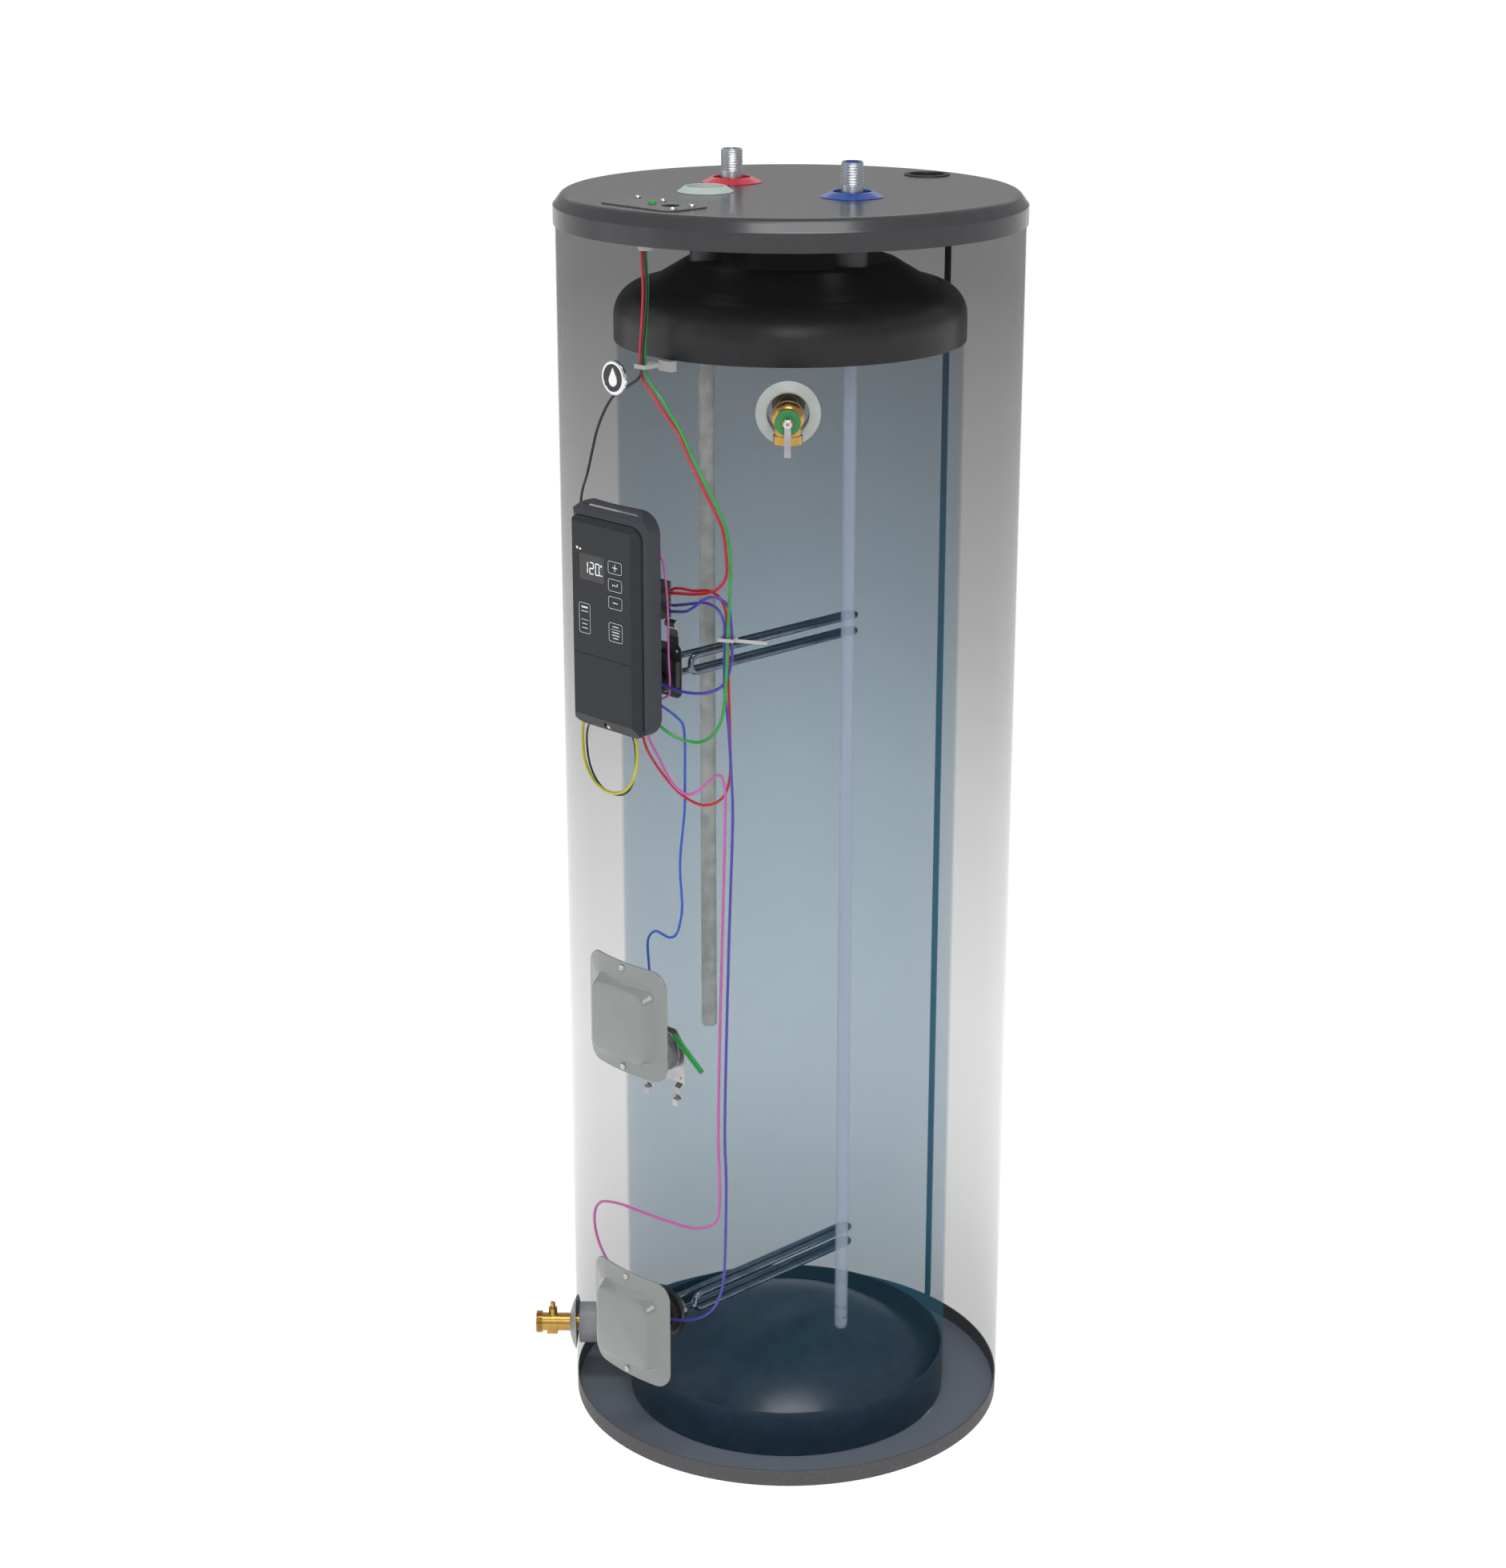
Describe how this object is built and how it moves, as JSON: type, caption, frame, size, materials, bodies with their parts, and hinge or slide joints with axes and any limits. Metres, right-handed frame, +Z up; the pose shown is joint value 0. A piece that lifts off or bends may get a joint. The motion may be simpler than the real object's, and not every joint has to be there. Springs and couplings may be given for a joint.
{
  "type": "tank water heater",
  "caption": "Tall electric tank water heater with a side control unit, relief and drain valves, and its tank, elements and wiring seen through the jacket.",
  "frame": {"origin": "centre of the base on the floor", "axes": "+Z up along the tank axis; the front with the control unit and covers faces -Y; the cold connection is towards +X"},
  "size_m": [0.5651, 0.5898, 1.6218],
  "materials": {
    "jacket_paint": "grey paint, drawn see-through",
    "lid_paint": "dark grey paint",
    "black_rubber": "matt",
    "port_plastic": "smooth",
    "red_plastic": "smooth",
    "blue_plastic": "smooth",
    "galvanised": "zinc",
    "cover_plate": "speckled, drawn partly see-through",
    "zinc_steel": "zinc",
    "pan_steel": "grey paint",
    "chrome": "polished",
    "bezel_plastic": "satin",
    "grey_plastic": "satin",
    "tank_steel": "drawn see-through",
    "black_steel": "black satin",
    "enamel_steel": "dark blue glass lining, drawn as a finish",
    "pipe_steel": "plated",
    "dip_plastic": "milky",
    "anode_metal": "dull cast",
    "element_sheath": "dark plated",
    "black_plastic": "moulded",
    "spring_steel": "bright",
    "switch_plastic": "moulded",
    "button_red": "moulded",
    "unit_plastic": "satin",
    "cover_plastic": "satin",
    "screen": "dark display",
    "circuit_board": "green",
    "key_plastic": "satin",
    "access_plastic": "smooth",
    "wire_black": "smooth",
    "wire_red": "smooth",
    "wire_green": "smooth",
    "wire_violet": "smooth",
    "wire_blue": "smooth",
    "wire_yellow": "smooth",
    "wire_pink": "smooth",
    "nylon": "smooth",
    "brass": "cast and turned",
    "tag_green": "matt",
    "lever_steel": "plated"
  },
  "bodies": {
    "heater": {"jacket": "jacket_paint", "jacket_seam": "black_rubber", "lid": "lid_paint", "lid_grommet": "black_rubber", "anode_port_ring": "port_plastic", "hot_collar": "red_plastic", "cold_collar": "blue_plastic", "junction_box": "galvanised", "junction_cover": "cover_plate", "junction_screws": "zinc_steel", "strain_relief": "nylon", "base_pan": "pan_steel", "badge": "chrome", "relief_bezel": "bezel_plastic", "drain_escutcheon": "grey_plastic", "drain_sleeve": "grey_plastic", "tank_shell": "tank_steel", "top_head": "black_steel", "bottom_head": "enamel_steel", "threaded_spuds": "pipe_steel", "element_spuds": "pipe_steel", "hot_nipple": "pipe_steel", "cold_nipple": "pipe_steel", "cold_liner": "blue_plastic", "dip_tube": "dip_plastic", "anode_rod": "anode_metal", "heating_elements": "element_sheath", "element_gaskets": "black_rubber", "element_blocks": "black_plastic", "element_brackets": "black_plastic", "upper_clip": "spring_steel", "limit_switch": "switch_plastic", "mid_bracket": "spring_steel", "mid_sensor": "galvanised", "control_housing": "unit_plastic", "control_cover": "cover_plastic", "display_window": "screen", "control_board": "circuit_board", "access_covers": "access_plastic", "cover_screws": "zinc_steel", "wire_black": "wire_black", "wire_red": "wire_red", "wire_green": "wire_green", "wire_violet": "wire_violet", "wire_blue": "wire_blue", "wire_yellow": "wire_yellow", "wire_pink": "wire_pink", "cable_ties": "nylon", "relief_body": "brass", "relief_tag": "tag_green", "drain_body": "brass"},
    "reset_button": {"reset_button": "button_red"},
    "key_plus": {"key_plus": "key_plastic"},
    "key_enter": {"key_enter": "key_plastic"},
    "key_minus": {"key_minus": "key_plastic"},
    "key_reset": {"key_reset": "key_plastic"},
    "key_mode": {"key_mode": "key_plastic"},
    "relief_stem": {"relief_stem": "brass"},
    "relief_lever": {"relief_lever": "lever_steel"},
    "drain_stem": {"drain_stem": "brass"}
  },
  "joints": [
    {"name": "plus_key_press", "type": "slide", "parent": "heater", "child": "key_plus", "axis": [0, 1, 0], "range_m": [0, 0.0006], "stiffness_N_per_m": 1200},
    {"name": "enter_key_press", "type": "slide", "parent": "heater", "child": "key_enter", "axis": [0, 1, 0], "range_m": [0, 0.0006], "stiffness_N_per_m": 1200},
    {"name": "minus_key_press", "type": "slide", "parent": "heater", "child": "key_minus", "axis": [0, 1, 0], "range_m": [0, 0.0006], "stiffness_N_per_m": 1200},
    {"name": "reset_key_press", "type": "slide", "parent": "heater", "child": "key_reset", "axis": [0, 1, 0], "range_m": [0, 0.0006], "stiffness_N_per_m": 1200},
    {"name": "mode_key_press", "type": "slide", "parent": "heater", "child": "key_mode", "axis": [0, 1, 0], "range_m": [0, 0.0006], "stiffness_N_per_m": 1200},
    {"name": "limit_reset_press", "type": "slide", "parent": "heater", "child": "reset_button", "axis": [0, 1, 0], "range_m": [0, 0.002], "stiffness_N_per_m": 1500},
    {"name": "relief_stem_lift", "type": "slide", "parent": "heater", "child": "relief_stem", "axis": [0.7071, -0.7071, 0], "range_m": [0, 0.00314]},
    {"name": "relief_lever_lift", "type": "hinge", "parent": "relief_stem", "child": "relief_lever", "pos_m": [0.24112, -0.24112, 1.366], "axis": [-0.7071, -0.7071, 0], "range_deg": [0, 90], "stiffness_Nm_per_rad": 0.016},
    {"name": "drain_stem_turn", "type": "hinge", "parent": "heater", "child": "drain_stem", "pos_m": [-0.22097, -0.22097, 0.08], "axis": [0, 0, 1], "range_deg": [0, 90]}
  ],
  "couplings": [
    {"joint": "relief_lever_lift", "follows": "relief_stem_lift", "rad_per_m": 500}
  ]
}
